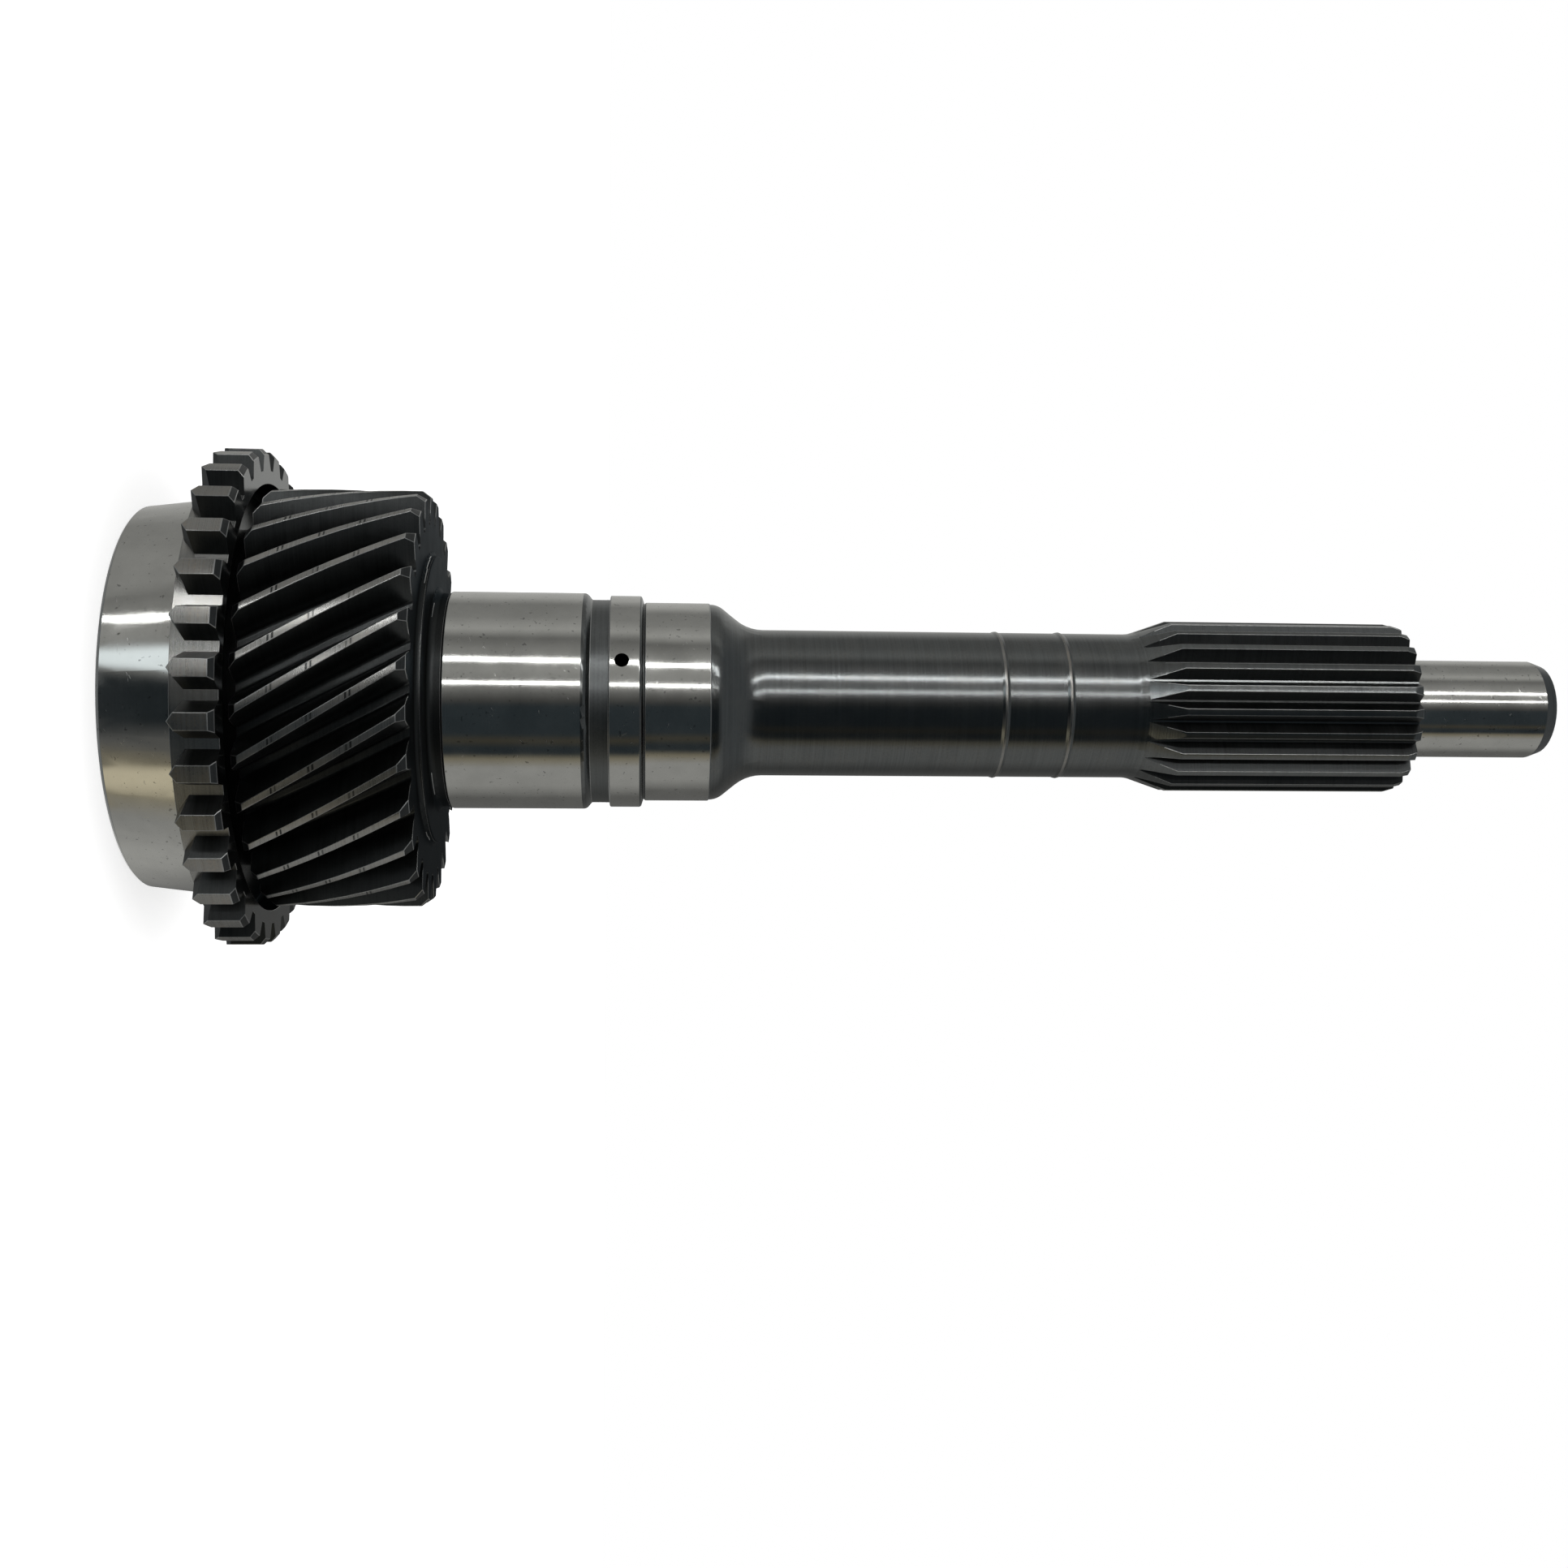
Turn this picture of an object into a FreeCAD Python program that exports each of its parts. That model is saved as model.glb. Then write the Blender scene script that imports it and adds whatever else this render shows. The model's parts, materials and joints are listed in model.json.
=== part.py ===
import FreeCAD, Part
import math
import os

# Input shaft of a manual gearbox with its clutch ring. It stands on the clutch ring's face:
# +Z runs along the axis to the pilot tip and the origin is the centre of that face.
# Lengths are in mm and angles in degrees.

# Clutch ring: synchroniser cone
CONE_TIP_R = 34.45
CONE_HALF_ANGLE = 7.0
CONE_LENGTH = 13.6
CONE_EDGE = 0.6
CONE_UNDERCUT_DEPTH = 0.4
CONE_UNDERCUT_WIDTH = 0.7

# Clutch ring: dog teeth
DOG_COUNT = 33
DOG_CREST_R = 45.0
DOG_ROOT_R = 41.2
DOG_WIDTH = 7.9
DOG_LAND = 2.9
DOG_FLANK_ANGLE = 22.0
DOG_ROOF_ANGLE = 110.0
DOG_RIDGE_SETBACK = 0.6
DOG_RIDGE_LEAN = 5.0
DOG_BACK_CHAMFER = 0.9
DOG_BACK_DROP = 1.0
DOG_FIRST_ANGLE = 7.5

# Clutch ring: bore and rear recess
HUB_SEAT_R = 27.0
HUB_EDGE = 0.6
RING_WEB = 16.6
RECESS_R = 38.8
RECESS_CORNER = 1.0

# Shaft: hub under the ring and the hidden bores
HUB_SETBACK = 0.5
SHOULDER_R = 30.6
NEEDLE_BORE_R = 16.5
NEEDLE_BORE_DEPTH = 27.0
NEEDLE_BORE_EDGE = 1.0
OIL_PASSAGE_R = 4.0
OIL_PASSAGE_SPARE = 4.0
DRILL_POINT_ANGLE = 118.0
OIL_HOLE_R = 1.3
OIL_HOLE_FROM_STEP = 2.35
OIL_HOLE_ANGLE = -19.2

# Shaft: helical gear
GEAR_GAP = 0.5
GEAR_TEETH = 28
GEAR_FACE = 28.3
GEAR_TIP_R = 38.05
GEAR_ROOT_R = 32.1
GEAR_PITCH_R = 35.4
GEAR_PITCH_BACKLASH = 0.1
GEAR_HELIX_ANGLE = 29.7
GEAR_PRESSURE_ANGLE = 23.0
GEAR_ROOT_FILLET = 0.7
GEAR_FRONT_CHAMFER = 1.2
GEAR_FRONT_DROP = 1.0
GEAR_BACK_CHAMFER = 1.5
GEAR_BACK_DROP = 1.15
GEAR_FIRST_ANGLE = 7.2
FLANK_SPANS = 4

# Shaft: boss behind the gear and the neck to the bearing seat
BOSS_R = 26.4
BOSS_LENGTH = 1.1
BOSS_FOOT_FILLET = 0.9
BOSS_EDGE = 0.25
NECK_R = 19.7
NECK_LENGTH = 2.7
NECK_FILLET = 1.2

# Shaft: ground seats and the grooves between them
SEAT_R = 20.0
SEAT_LENGTH = 24.45
SEAT_LEAD = 0.3
SEAT_END_DROP = 1.2
SEAT_END_LENGTH = 1.0
SEAT_END_ROUND = 1.2
GROOVE_LENGTH = 3.3
STEP_R = 19.6
STEP_LENGTH = 5.7
STEP_EDGE = 0.15
STEP_END_LENGTH = 0.8
STEP_END_ROUND = 0.5
SEAL_R = 18.4
SEAL_UNDERCUT_DEPTH = 0.3
SEAL_LENGTH = 11.8
SEAL_END_DROP = 0.2

# Shaft: taper and shank
COLLAR_LENGTH = 1.4
COLLAR_ROUND = 4.0
TAPER_ANGLE = 39.0
SHANK_R = 13.6
SHANK_FILLET = 8.0
BEAD_HEIGHT = 0.27
BEAD_HALF_WIDTH = 0.7
BEAD_PITCH = 12.0
BEAD_FROM_RAMP = 13.6
SHANK_LENGTH = 72.2

# Shaft: splines
SPLINE_COUNT = 23
SPLINE_CREST_R = 16.1
SPLINE_ROOT_R = 13.9
SPLINE_LAND = 1.1
SPLINE_FLOOR = 0.35
SPLINE_RAMP_LENGTH = 7.2
SPLINE_RAMP_FILLET = 6.0
SPLINE_LENGTH = 42.7
SPLINE_TIP_CHAMFER = 1.8
SPLINE_TIP_DROP = 0.5
SPLINE_FIRST_ANGLE = 6.1

# Shaft: pilot tip
TIP_R = 9.3
TIP_LENGTH = 29.2
TIP_FOOT_FILLET = 0.6
TIP_CHAMFER = 2.3
TIP_CHAMFER_DROP = 0.85

# Widths shared by the cutters that run past a face, and the frame's axis
OVERRUN = 2.0
SHORT_OVERRUN = 1.0
AXIS = FreeCAD.Vector(0, 0, 1)
ORIGIN = FreeCAD.Vector(0, 0, 0)
FULL_TURN = 360.0

# Stations along the axis, each tied to the one before it
DOG_Z = CONE_LENGTH
RING_BACK_Z = DOG_Z + DOG_WIDTH
GEAR_Z = RING_BACK_Z + GEAR_GAP
GEAR_BACK_Z = GEAR_Z + GEAR_FACE
BOSS_Z = GEAR_BACK_Z + BOSS_LENGTH
SEAT_Z = BOSS_Z + NECK_LENGTH
SEAT_END_Z = SEAT_Z + SEAT_LENGTH
GROOVE_Z = SEAT_END_Z + SEAT_END_LENGTH
STEP_Z = GROOVE_Z + GROOVE_LENGTH
STEP_END_Z = STEP_Z + STEP_LENGTH
SEAL_Z = STEP_END_Z + STEP_END_LENGTH
SEAL_END_Z = SEAL_Z + SEAL_LENGTH
COLLAR_R = SEAL_R - SEAL_END_DROP
COLLAR_Z = SEAL_END_Z + COLLAR_LENGTH
SHANK_Z = COLLAR_Z + (COLLAR_R - SHANK_R) / math.tan(math.radians(TAPER_ANGLE))
RAMP_Z = SHANK_Z + SHANK_LENGTH
SPLINE_Z = RAMP_Z + SPLINE_RAMP_LENGTH
SPLINE_TIP_Z = SPLINE_Z + SPLINE_LENGTH
SHOULDER_Z = SPLINE_TIP_Z + SPLINE_TIP_CHAMFER
TIP_CHAMFER_Z = SHOULDER_Z + TIP_LENGTH - TIP_CHAMFER
END_Z = SHOULDER_Z + TIP_LENGTH
OIL_HOLE_Z = STEP_Z + OIL_HOLE_FROM_STEP


def polar(radius, angle, z=0.0):
    """Point at a radius and an angle from +X, at height z."""
    turn = math.radians(angle)
    return FreeCAD.Vector(radius * math.cos(turn), radius * math.sin(turn), z)


def seen_angle(angle):
    """Angle from +X of a tooth whose angle is counted from the -Y side towards +X."""
    return angle - 90.0


def corner_round(before, corner, after, radius):
    """Tangent points and middle of the arc that rounds the corner of an outline."""
    back = (before - corner).normalize()
    ahead = (after - corner).normalize()
    half = back.getAngle(ahead) / 2.0
    reach = radius / math.tan(half)
    inward = (back + ahead).normalize()
    middle = corner + inward * (radius / math.sin(half) - radius)
    return corner + back * reach, middle, corner + ahead * reach


def outline(points):
    """Closed outline in the XZ half plane from (radius, height, corner round) triples."""
    corners = [FreeCAD.Vector(radius, 0, height) for radius, height, rounding in points]
    edges = []
    start = None
    first = None
    for index, corner in enumerate(corners):
        rounding = points[index][2]
        enter = corner
        leave = corner
        arc = None
        if rounding > 0:
            after = corners[(index + 1) % len(corners)]
            enter, middle, leave = corner_round(corners[index - 1], corner, after, rounding)
            arc = Part.Arc(enter, middle, leave).toShape()
        if start is None:
            first = enter
        else:
            edges.append(Part.makeLine(start, enter))
        if arc is not None:
            edges.append(arc)
        start = leave
    edges.append(Part.makeLine(start, first))
    return Part.Wire(edges)


def turned(points):
    """Solid of revolution about Z of an outline."""
    return Part.Face(outline(points)).revolve(ORIGIN, AXIS, FULL_TURN)


def around(shape, count, first_angle):
    """Copies of a shape drawn at angle zero, spread evenly around Z."""
    copies = []
    for index in range(count):
        copy = shape.copy()
        copy.rotate(ORIGIN, AXIS, seen_angle(first_angle) + index * FULL_TURN / count)
        copies.append(copy)
    return copies


def prism(points, direction):
    """Solid swept straight from a closed polygon."""
    return Part.Face(Part.makePolygon(points + points[:1])).extrude(direction)


# Clutch ring

def ring_body():
    """Cone, dog tooth root drum, bore and rear recess turned in one outline."""
    slope = math.tan(math.radians(CONE_HALF_ANGLE))
    edge_r = CONE_TIP_R + CONE_EDGE * slope
    groove_z = CONE_LENGTH - CONE_UNDERCUT_WIDTH
    groove_top_r = CONE_TIP_R + groove_z * slope
    groove_r = groove_top_r - CONE_UNDERCUT_DEPTH
    return turned([
        (HUB_SEAT_R + HUB_EDGE, 0, 0),
        (CONE_TIP_R - CONE_EDGE, 0, 0),
        (edge_r, CONE_EDGE, 0),
        (groove_top_r, groove_z, 0),
        (groove_r, groove_z + CONE_UNDERCUT_DEPTH, 0),
        (groove_r, DOG_Z, 0),
        (DOG_ROOT_R, DOG_Z, 0),
        (DOG_ROOT_R, RING_BACK_Z, 0),
        (RECESS_R, RING_BACK_Z, 0),
        (RECESS_R, RING_WEB, RECESS_CORNER),
        (HUB_SEAT_R, RING_WEB, 0),
        (HUB_SEAT_R, HUB_EDGE, 0),
    ])


def dog_tooth():
    """One clutch tooth at angle zero: a tapered bar with a pointed roof at the cone end."""
    foot_r = DOG_ROOT_R - OVERRUN
    spread = math.tan(math.radians(DOG_FLANK_ANGLE))
    half_land = DOG_LAND / 2.0
    half_foot = half_land + (DOG_CREST_R - foot_r) * spread
    half_top = half_land - OVERRUN * spread
    top_r = DOG_CREST_R + OVERRUN
    bar = prism([
        FreeCAD.Vector(foot_r, -half_foot, DOG_Z),
        FreeCAD.Vector(top_r, -half_top, DOG_Z),
        FreeCAD.Vector(top_r, half_top, DOG_Z),
        FreeCAD.Vector(foot_r, half_foot, DOG_Z),
    ], AXIS * DOG_WIDTH)
    return bar.cut(roof_cutter(half_foot))


def roof_cutter(half_width):
    """The two wedges taken off the cone end of a tooth; their ridge leans back towards the crest."""
    reach = half_width / math.tan(math.radians(DOG_ROOF_ANGLE / 2.0))
    lean = math.tan(math.radians(DOG_RIDGE_LEAN))
    foot_r = DOG_ROOT_R - OVERRUN
    top_r = DOG_CREST_R + OVERRUN
    sections = []
    for radius in (foot_r, top_r):
        ridge_z = DOG_Z + DOG_RIDGE_SETBACK + (radius - DOG_CREST_R) * lean
        below = ridge_z - OVERRUN
        sections.append(Part.makePolygon([
            FreeCAD.Vector(radius, -half_width, below),
            FreeCAD.Vector(radius, half_width, below),
            FreeCAD.Vector(radius, half_width, ridge_z + reach),
            FreeCAD.Vector(radius, 0, ridge_z),
            FreeCAD.Vector(radius, -half_width, ridge_z + reach),
            FreeCAD.Vector(radius, -half_width, below),
        ]))
    return Part.makeLoft(sections, True, True)


def dog_crest_drum():
    """Drum that bounds the dog teeth: crest radius with the chamfer on the gear side."""
    chamfer_z = RING_BACK_Z - DOG_BACK_CHAMFER
    inner_r = DOG_ROOT_R - SHORT_OVERRUN
    return turned([
        (inner_r, DOG_Z, 0),
        (DOG_CREST_R, DOG_Z, 0),
        (DOG_CREST_R, chamfer_z, 0),
        (DOG_CREST_R - DOG_BACK_DROP, RING_BACK_Z, 0),
        (inner_r, RING_BACK_Z, 0),
    ])


def clutch_ring():
    """Synchroniser cone with its ring of dog teeth, pressed and welded on the shaft's hub."""
    teeth = Part.makeCompound(around(dog_tooth(), DOG_COUNT, DOG_FIRST_ANGLE))
    crown = dog_crest_drum().common(teeth)
    return ring_body().multiFuse(crown.Solids).removeSplitter()


# Helical gear

def involute_roll(radius, base_r):
    """Angle in radians by which an involute has wound away from its base circle at a radius."""
    pressure = math.acos(min(1.0, base_r / radius))
    return math.tan(pressure) - pressure


def flank_points(outer_r, base_r, root_r, space_half_angle):
    """Points of one flank of a tooth space at angle zero, from the outside to the root."""
    inner_r = max(base_r, root_r + GEAR_ROOT_FILLET)
    pitch_roll = involute_roll(GEAR_PITCH_R, base_r)
    points = []
    for step in range(FLANK_SPANS + 1):
        radius = outer_r + (inner_r - outer_r) * step / FLANK_SPANS
        half = space_half_angle + math.degrees(involute_roll(radius, base_r) - pitch_roll)
        points.append(polar(radius, half))
    return points


def gear_space_profile():
    """Closed outline of one tooth space across the axis, at angle zero, open past the tips."""
    base_r = GEAR_PITCH_R * math.cos(math.radians(GEAR_PRESSURE_ANGLE))
    quarter_pitch = FULL_TURN / GEAR_TEETH / 4.0
    clearance = math.degrees(GEAR_PITCH_BACKLASH / GEAR_PITCH_R) / 2.0
    outer_r = GEAR_TIP_R + SHORT_OVERRUN
    upper = flank_points(outer_r, base_r, GEAR_ROOT_R, quarter_pitch + clearance)
    lower = [FreeCAD.Vector(point.x, -point.y, point.z) for point in upper]
    foot = upper[-1]
    fillet_angle = math.degrees(GEAR_ROOT_FILLET / GEAR_ROOT_R)
    floor_half = math.degrees(math.atan2(foot.y, foot.x)) - fillet_angle
    floor_up = polar(GEAR_ROOT_R, floor_half)
    floor_mid = polar(GEAR_ROOT_R, 0)
    floor_low = polar(GEAR_ROOT_R, -floor_half)
    upper_flank = Part.BSplineCurve()
    upper_flank.interpolate(upper)
    lower_flank = Part.BSplineCurve()
    lower_flank.interpolate(lower[::-1])
    corner = (1.0 - math.sqrt(0.5)) * GEAR_ROOT_FILLET
    corner_up = polar(GEAR_ROOT_R + corner, floor_half + fillet_angle * math.sqrt(0.5))
    corner_low = FreeCAD.Vector(corner_up.x, -corner_up.y, 0)
    return Part.Wire([
        upper_flank.toShape(),
        Part.Arc(foot, corner_up, floor_up).toShape(),
        Part.Arc(floor_up, floor_mid, floor_low).toShape(),
        Part.Arc(floor_low, corner_low, lower[-1]).toShape(),
        lower_flank.toShape(),
        Part.makeLine(lower[0], upper[0]),
    ])


def gear_space():
    """One helical tooth space: the profile carried along the helix past both gear faces."""
    rise = GEAR_FACE + 2.0 * SHORT_OVERRUN
    pitch = 2.0 * math.pi * GEAR_PITCH_R / math.tan(math.radians(GEAR_HELIX_ANGLE))
    guide = Part.makeHelix(pitch, rise, GEAR_PITCH_R, 0, True)
    spine = Part.Wire([Part.makeLine(ORIGIN, AXIS * rise)])
    sweep = Part.BRepOffsetAPI.MakePipeShell(spine)
    sweep.setAuxiliarySpine(guide, True, 0)
    sweep.add(gear_space_profile())
    sweep.build()
    sweep.makeSolid()
    space = sweep.shape()
    space.translate(AXIS * (GEAR_Z - SHORT_OVERRUN))
    return space


# Shaft

def bead(height):
    """Outline points of a low rounded bead on the shank, centred at a height."""
    return [
        (SHANK_R, height - BEAD_HALF_WIDTH, 0),
        (SHANK_R + BEAD_HEIGHT, height, BEAD_HALF_WIDTH),
        (SHANK_R, height + BEAD_HALF_WIDTH, 0),
    ]


def shaft_blank():
    """The whole shaft turned in one outline, with the gear and the splines still solid drums."""
    first_bead = RAMP_Z - BEAD_FROM_RAMP - BEAD_PITCH
    groove_r = SEAT_R - SEAT_END_DROP
    points = [
        (0, HUB_SETBACK, 0),
        (HUB_SEAT_R - HUB_EDGE, HUB_SETBACK, 0),
        (HUB_SEAT_R, HUB_SETBACK + HUB_EDGE, 0),
        (HUB_SEAT_R, RING_WEB, 0),
        (SHOULDER_R, RING_WEB, 0),
        (SHOULDER_R, GEAR_Z, 0),
        (GEAR_TIP_R - GEAR_FRONT_DROP, GEAR_Z, 0),
        (GEAR_TIP_R, GEAR_Z + GEAR_FRONT_CHAMFER, 0),
        (GEAR_TIP_R, GEAR_BACK_Z - GEAR_BACK_CHAMFER, 0),
        (GEAR_TIP_R - GEAR_BACK_DROP, GEAR_BACK_Z, 0),
        (BOSS_R, GEAR_BACK_Z, BOSS_FOOT_FILLET),
        (BOSS_R, BOSS_Z, BOSS_EDGE),
        (NECK_R, BOSS_Z, NECK_FILLET),
        (NECK_R, SEAT_Z - SEAT_LEAD, 0),
        (SEAT_R, SEAT_Z, 0),
        (SEAT_R, SEAT_END_Z, SEAT_END_ROUND),
        (groove_r, GROOVE_Z, 0),
        (groove_r, STEP_Z, 0),
        (STEP_R - STEP_EDGE, STEP_Z, 0),
        (STEP_R, STEP_Z + STEP_EDGE, 0),
        (STEP_R, STEP_END_Z, STEP_END_ROUND),
        (SEAL_R - SEAL_UNDERCUT_DEPTH, SEAL_Z - SEAL_UNDERCUT_DEPTH, 0),
        (SEAL_R, SEAL_Z, 0),
        (SEAL_R, SEAL_END_Z - SEAL_END_DROP, 0),
        (COLLAR_R, SEAL_END_Z, 0),
        (COLLAR_R, COLLAR_Z, COLLAR_ROUND),
        (SHANK_R, SHANK_Z, SHANK_FILLET),
    ]
    points += bead(first_bead)
    points += bead(first_bead + BEAD_PITCH)
    points += [
        (SHANK_R, RAMP_Z, SPLINE_RAMP_FILLET),
        (SPLINE_CREST_R, SPLINE_Z, 0),
        (SPLINE_CREST_R, SPLINE_TIP_Z, 0),
        (SPLINE_CREST_R - SPLINE_TIP_DROP, SHOULDER_Z, 0),
        (TIP_R, SHOULDER_Z, TIP_FOOT_FILLET),
        (TIP_R, TIP_CHAMFER_Z, 0),
        (TIP_R - TIP_CHAMFER_DROP, END_Z, 0),
        (0, END_Z, 0),
    ]
    return turned(points)


def spline_space():
    """One spline groove at angle zero; it runs out on the ramp because its floor stays level."""
    depth = SPLINE_CREST_R - SPLINE_ROOT_R
    half_mouth = (2.0 * math.pi * SPLINE_CREST_R / SPLINE_COUNT - SPLINE_LAND) / 2.0
    half_floor = SPLINE_FLOOR / 2.0
    slope = (half_mouth - half_floor) / depth
    top_r = SPLINE_CREST_R + SHORT_OVERRUN
    half_top = half_mouth + (top_r - SPLINE_CREST_R) * slope
    return prism([
        FreeCAD.Vector(SPLINE_ROOT_R, -half_floor, RAMP_Z),
        FreeCAD.Vector(top_r, -half_top, RAMP_Z),
        FreeCAD.Vector(top_r, half_top, RAMP_Z),
        FreeCAD.Vector(SPLINE_ROOT_R, half_floor, RAMP_Z),
    ], AXIS * (SHOULDER_Z - RAMP_Z + OVERRUN))


def drill_point(radius):
    """Depth of the cone that a twist drill leaves at the end of its hole."""
    return radius / math.tan(math.radians(DRILL_POINT_ANGLE / 2.0))


def hidden_bores():
    """Needle bearing bore and oil passage, bored from the hub end in one outline."""
    bore_end = HUB_SETBACK + NEEDLE_BORE_DEPTH
    passage_end = OIL_HOLE_Z + OIL_PASSAGE_SPARE
    countersink = bore_end + drill_point(NEEDLE_BORE_R) - drill_point(OIL_PASSAGE_R)
    mouth_r = NEEDLE_BORE_R + NEEDLE_BORE_EDGE
    return turned([
        (0, HUB_SETBACK - OVERRUN, 0),
        (mouth_r, HUB_SETBACK - OVERRUN, 0),
        (mouth_r, HUB_SETBACK, 0),
        (NEEDLE_BORE_R, HUB_SETBACK + NEEDLE_BORE_EDGE, 0),
        (NEEDLE_BORE_R, bore_end, 0),
        (OIL_PASSAGE_R, countersink, 0),
        (OIL_PASSAGE_R, passage_end, 0),
        (0, passage_end + drill_point(OIL_PASSAGE_R), 0),
    ])


def oil_hole():
    """Radial hole from the oil passage out to the stepped land."""
    direction = polar(1.0, seen_angle(OIL_HOLE_ANGLE))
    return Part.makeCylinder(OIL_HOLE_R, STEP_R + OVERRUN, AXIS * OIL_HOLE_Z, direction)


def input_shaft():
    """Shaft with its helical gear and splines cut and its bores drilled."""
    half_gear_pitch = FULL_TURN / GEAR_TEETH / 2.0
    half_spline_pitch = FULL_TURN / SPLINE_COUNT / 2.0
    gear_spaces = around(gear_space(), GEAR_TEETH, GEAR_FIRST_ANGLE + half_gear_pitch)
    spline_spaces = around(spline_space(), SPLINE_COUNT, SPLINE_FIRST_ANGLE + half_spline_pitch)
    shaft = shaft_blank().cut(gear_spaces)
    shaft = shaft.cut(spline_spaces)
    return shaft.cut([hidden_bores(), oil_hole()])


os.makedirs("parts", exist_ok=True)
input_shaft().exportStep("parts/input_shaft.step")
clutch_ring().exportStep("parts/clutch_ring.step")
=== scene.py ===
import json
import math

import bmesh
import bpy
from bpy.props import FloatProperty, FloatVectorProperty, PointerProperty
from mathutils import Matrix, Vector


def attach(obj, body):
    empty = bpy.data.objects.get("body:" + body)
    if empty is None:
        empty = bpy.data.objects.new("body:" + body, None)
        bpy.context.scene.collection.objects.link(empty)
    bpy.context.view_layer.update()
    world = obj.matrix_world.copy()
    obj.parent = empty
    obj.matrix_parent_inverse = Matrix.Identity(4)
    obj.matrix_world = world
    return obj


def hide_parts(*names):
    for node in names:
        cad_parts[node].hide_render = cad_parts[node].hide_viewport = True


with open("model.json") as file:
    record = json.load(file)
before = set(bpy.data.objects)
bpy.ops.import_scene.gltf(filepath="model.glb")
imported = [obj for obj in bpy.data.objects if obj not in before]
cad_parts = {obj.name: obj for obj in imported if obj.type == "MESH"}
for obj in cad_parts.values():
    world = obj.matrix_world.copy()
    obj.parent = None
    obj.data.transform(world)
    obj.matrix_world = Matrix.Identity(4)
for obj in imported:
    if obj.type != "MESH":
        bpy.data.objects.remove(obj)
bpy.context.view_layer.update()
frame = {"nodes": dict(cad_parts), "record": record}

bl_info = {
    "name": "Transmission Input Shaft",
    "version": (1, 0, 0),
    "blender": (4, 5, 0),
    "location": "3D View > Sidebar > Input Shaft",
    "description": "Dresses the input shaft and its clutch ring, and sets the studio around them",
    "category": "Object",
}

MM = 0.001


def mount_span(name):
    """Where a mount's wall starts and ends along the axis, in mm."""
    mount = [item for item in frame["record"]["mounts"] if item["name"] == name][0]
    middle = mount["pos_m"][2] / MM
    half = mount["dims"]["length_mm"] / 2.0
    return middle - half, middle + half


# Ground walls, as the part's record has them
SEAT_START, SEAT_END = mount_span("bearing_seat")
SEAL_START, SEAL_END = mount_span("seal_land")
TIP_START, TIP_END = mount_span("pilot_tip")

# Stations along the shaft in mm, as the CAD model has them
CONE_END = 12.9
RING_FACE = 13.6
GEAR_FRONT = 22.0
GEAR_BACK = 50.3
GROOVE_START = 79.55
STEP_START = 82.85
STEP_END = 88.3
RAMP_START = 180.4
SPLINE_SHOULDER = 232.13
SCORED_RINGS = (28.6, 34.9, 41.2)

# Heights in mm that part one surface from the next
CONE_FACE_TOP = 1.0
GEAR_REACH = (GEAR_FRONT - 0.1, GEAR_BACK + 0.1)
GEAR_TOP = GEAR_BACK + 0.01
TURNED_FROM = GEAR_BACK + 0.2
SEAT_TOP = SEAT_END + 0.02
BEADS = (150.0, 170.0)
SPLINE_REACH = (RAMP_START, SPLINE_SHOULDER + 0.1)

# Radii in mm that part one surface from the next
CONE_R = (33.0, 36.4)
HUB_R = 27.2
RING_BORE_R = 28.0
DOG_DRUM_R = (40.9, 41.3)
DOG_FOOT_R = 41.35
DOG_CREST_FROM_R = 42.2
GEAR_DRUM_R = 31.5
GEAR_FILLET_R = 33.6
GEAR_CREST_FROM_R = 36.55
OIL_PASSAGE_R = 4.65
BEAD_R = (13.72, 14.0)
SPLINE_EDGE_R = 14.9

# Shares of a face's normal: along the axis on an end face or a wall, outward on a crest
END_FACE = 0.9
HUB_FACE = 0.5
WALL = 0.3
CREST_OUT = 0.93
SPLINE_OUT = 0.85

# Difference in mm under which two heights or two radii are the same
SAME = 0.01

# Mesh limits: distance in metres, angles in degrees
MERGE_DISTANCE = 2e-6
FLAT_ANGLE = 0.6
QUAD_ANGLE = 12.0
SMOOTH_ANGLE = 18.0
SHARP_ANGLE = 25.0
BEVEL_SEGMENTS = 2


class ShaftFinish(bpy.types.PropertyGroup):
    """Colours and edge sizes of the shaft and its clutch ring."""

    ground_colour: FloatVectorProperty(
        name="Ground steel", description="Seats, cone and pilot tip after grinding",
        subtype="COLOR", size=3, min=0.0, max=1.0, default=(0.60, 0.60, 0.575))
    hardened_colour: FloatVectorProperty(
        name="Hardened steel", description="Shank, splines and teeth, left dark by case hardening",
        subtype="COLOR", size=3, min=0.0, max=1.0, default=(0.164, 0.173, 0.174))
    crest_colour: FloatVectorProperty(
        name="Tooth crests", description="Crests of the gear and dog teeth, and the raised rings",
        subtype="COLOR", size=3, min=0.0, max=1.0, default=(0.31, 0.31, 0.30))
    face_colour: FloatVectorProperty(
        name="Turned faces", description="End faces of the ring's cone and of the hub",
        subtype="COLOR", size=3, min=0.0, max=1.0, default=(0.42, 0.425, 0.42))
    root_colour: FloatVectorProperty(
        name="Tooth roots", description="Turned drum between the dog teeth",
        subtype="COLOR", size=3, min=0.0, max=1.0, default=(0.36, 0.36, 0.35))
    edge_colour: FloatVectorProperty(
        name="Worn edges", description="Deburred edges, worn bare and lightened as a painted highlight",
        subtype="COLOR", size=3, min=0.0, max=1.0, default=(0.42, 0.425, 0.42))
    tooth_edge: FloatProperty(
        name="Tooth edge", description="Width of the deburred edge of a tooth",
        unit="LENGTH", min=0.0, max=0.0005, default=0.00011)
    turned_edge: FloatProperty(
        name="Turned edge", description="Width of the broken edge of a seat, shoulder or spline",
        unit="LENGTH", min=0.0, max=0.0005, default=0.00008)


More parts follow.
